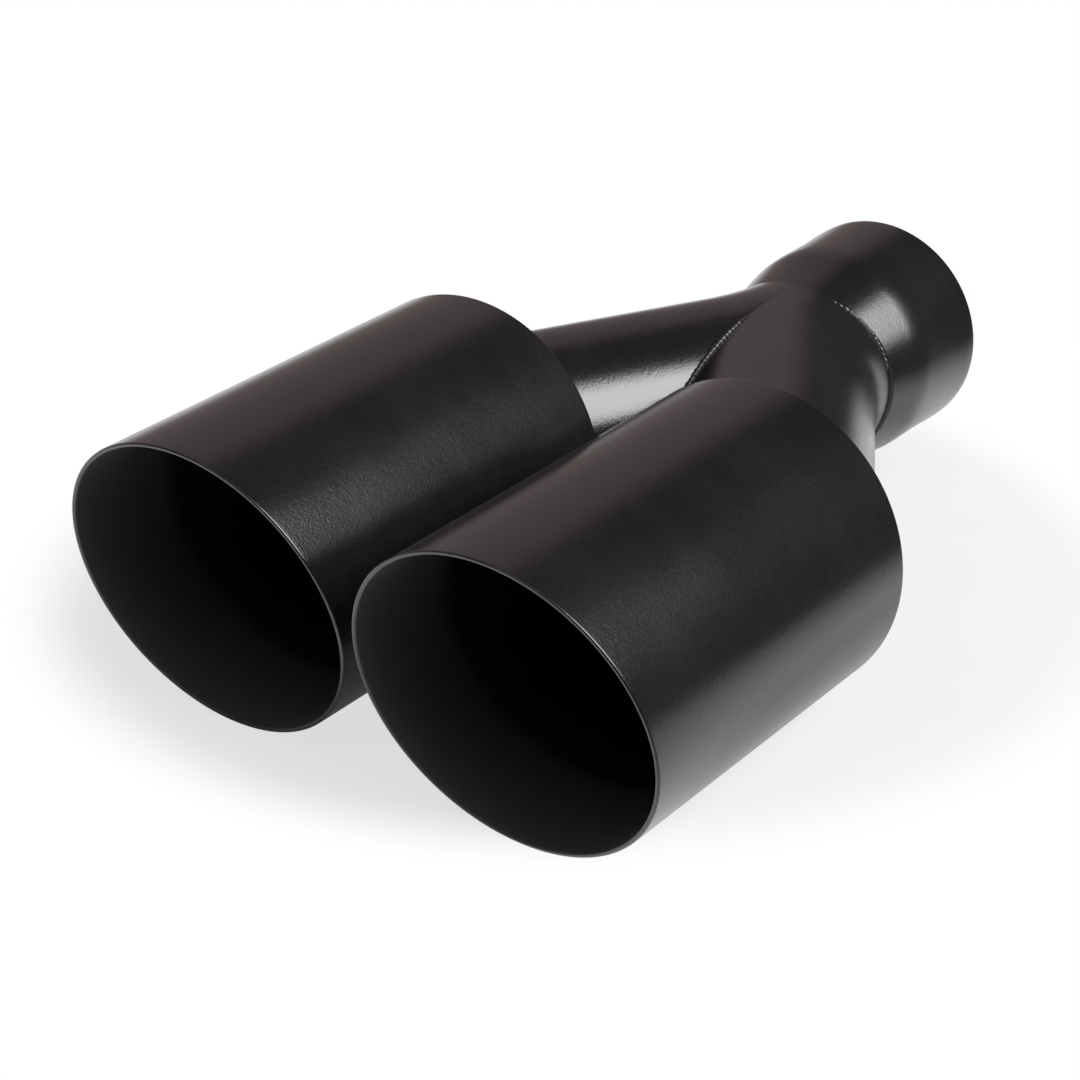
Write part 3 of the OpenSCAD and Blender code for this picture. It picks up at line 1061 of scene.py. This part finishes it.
class ExhaustStage(PropertyGroup):
    camera_place: FloatVectorProperty(
        name="Camera", description="Where the camera stands", default=(0.41566, -0.75336, 0.33765), size=3,
        unit="LENGTH")
    azimuth: an_angle("Azimuth", "Camera's turn to the right of the mouths' front", 35.536)
    elevation: an_angle("Elevation", "Camera's height above the horizon", 25.463)
    roll: an_angle("Roll", "Camera's turn about its own line of sight", -0.509)
    lens: a_number("Lens", "Focal length in millimetres", 98.13)
    card_place: FloatVectorProperty(
        name="Card Place", description="Middle of the white card under the part", default=(-0.03, -0.11),
        size=2, unit="LENGTH")
    floor_radius: a_length("Card Radius", "Where the white card has thinned out", 0.31)
    card_core: a_length("Card Core", "Where the white card begins to thin out", 0.12)
    shadow_reach: a_length("Shadow Reach", "How far from the part its shadow stays whole", 0.14)
    shadow_end: a_length("Shadow End", "How far from the part its shadow has faded out", 0.17)
    shadow_share: a_number("Shadow Share", "How much of the card's own shading the camera sees", 0.3)
    reflected_share: a_number("Reflected Share", "How much of that shading the coat reflects", 0.9)
    lamp_core: a_number("Lamp Core", "Where a lamp begins to fade, with its edge at 0.5", 0.2)
    room_colour: a_colour("Room", "Light of the dim studio", (0.06, 0.057, 0.06))
    wall_colour: a_colour("Wall", "Light of the pale wall on the left", (0.29, 0.23, 0.228))
    wall_azimuth: an_angle("Wall Azimuth", "Middle of the pale wall", -70)
    wall_elevation: an_angle("Wall Elevation", "Height of the pale wall's middle", 18)
    wall_spread: an_angle("Wall Spread", "Angle from the wall's middle to its edge", 48)
    wall_blur: a_number("Wall Blur", "Softness of the wall's edge", 0.1)
    sweep_colour: a_colour("Sweep", "Light of the white sweep", (0.9, 0.9, 0.9))
    sweep_depth: an_angle("Sweep Depth", "How far under the horizon the sweep ends", 7)
    sweep_blur: a_number("Sweep Blur", "Softness of the sweep's far edge", 0.13)
    sweep_side: FloatVectorProperty(
        name="Sweep Side", description="Direction in which the sweep runs on past the card",
        default=(-0.97, 0.243, 0.0), size=3, subtype="DIRECTION")
    sweep_level: a_number("Sweep Level", "How far round the sweep reaches, as a cosine", -0.1)
    side_blur: a_number("Side Blur", "Softness of the sweep's sides", 0.2)


# Operators

class EXHAUST_OT_stage(Operator):
    """Sets the camera, the white card, the lamps and the dim studio"""
    bl_idname = "exhaust.stage"
    bl_label = "Set the Stage"

    def execute(self, context):
        context.scene.view_settings.view_transform = "Standard"
        add_camera()
        make_floor()
        light_world()
        for name, lamp in LAMPS.items():
            add_softbox(name, **lamp)
        return {"FINISHED"}


class EXHAUST_OT_tips(Operator):
    """Models both slash-cut tips"""
    bl_idname = "exhaust.tips"
    bl_label = "Make the Tips"

    def execute(self, context):
        for side in (LEFT, RIGHT):
            make_tip(side)
        return {"FINISHED"}


class EXHAUST_OT_back_plates(Operator):
    """Models the pressed plates that close the tips' backs"""
    bl_idname = "exhaust.back_plates"
    bl_label = "Make the Back Plates"

    def execute(self, context):
        for side in (LEFT, RIGHT):
            make_back_plate(side)
        return {"FINISHED"}


class EXHAUST_OT_branches(Operator):
    """Models the two bent branch pipes"""
    bl_idname = "exhaust.branches"
    bl_label = "Make the Branches"

    def execute(self, context):
        for side in (LEFT, RIGHT):
            make_branch(side)
        return {"FINISHED"}


class EXHAUST_OT_collar(Operator):
    """Models the swaged inlet collar"""
    bl_idname = "exhaust.collar"
    bl_label = "Make the Collar"

    def execute(self, context):
        make_collar()
        return {"FINISHED"}


class EXHAUST_OT_welds(Operator):
    """Lays the rippled weld beads"""
    bl_idname = "exhaust.welds"
    bl_label = "Lay the Welds"

    def execute(self, context):
        make_neck_weld()
        make_crotch_weld()
        for side in (LEFT, RIGHT):
            make_branch_weld(side)
            make_edge_weld(side)
        return {"FINISHED"}


class EXHAUST_PT_sidebar(Panel):
    bl_label = "Exhaust Tip"
    bl_idname = "EXHAUST_PT_sidebar"
    bl_space_type = "VIEW_3D"
    bl_region_type = "UI"
    bl_category = "Exhaust Tip"

    def draw(self, context):
        column = self.layout.column()
        for operator in OPERATORS:
            column.operator(operator.bl_idname)


OPERATORS = (
    EXHAUST_OT_stage, EXHAUST_OT_tips, EXHAUST_OT_back_plates, EXHAUST_OT_branches, EXHAUST_OT_collar,
    EXHAUST_OT_welds)

GROUPS = {
    "exhaust_tips": ExhaustTipSizes,
    "exhaust_plates": ExhaustPlateSizes,
    "exhaust_pipes": ExhaustPipeSizes,
    "exhaust_collar": ExhaustCollarSizes,
    "exhaust_welds": ExhaustWeldSizes,
    "exhaust_coat": ExhaustCoat,
    "exhaust_stage": ExhaustStage,
}


def register():
    for group in GROUPS.values():
        bpy.utils.register_class(group)
    for name, group in GROUPS.items():
        setattr(bpy.types.Scene, name, PointerProperty(type=group))
    for operator in OPERATORS:
        bpy.utils.register_class(operator)
    bpy.utils.register_class(EXHAUST_PT_sidebar)


def unregister():
    bpy.utils.unregister_class(EXHAUST_PT_sidebar)
    for operator in reversed(OPERATORS):
        bpy.utils.unregister_class(operator)
    for name in GROUPS:
        delattr(bpy.types.Scene, name)
    for group in reversed(list(GROUPS.values())):
        bpy.utils.unregister_class(group)


def main():
    register()
    bpy.ops.exhaust.stage()
    bpy.ops.exhaust.tips()
    bpy.ops.exhaust.back_plates()
    bpy.ops.exhaust.branches()
    bpy.ops.exhaust.collar()
    bpy.ops.exhaust.welds()


if __name__ == "__main__":
    main()
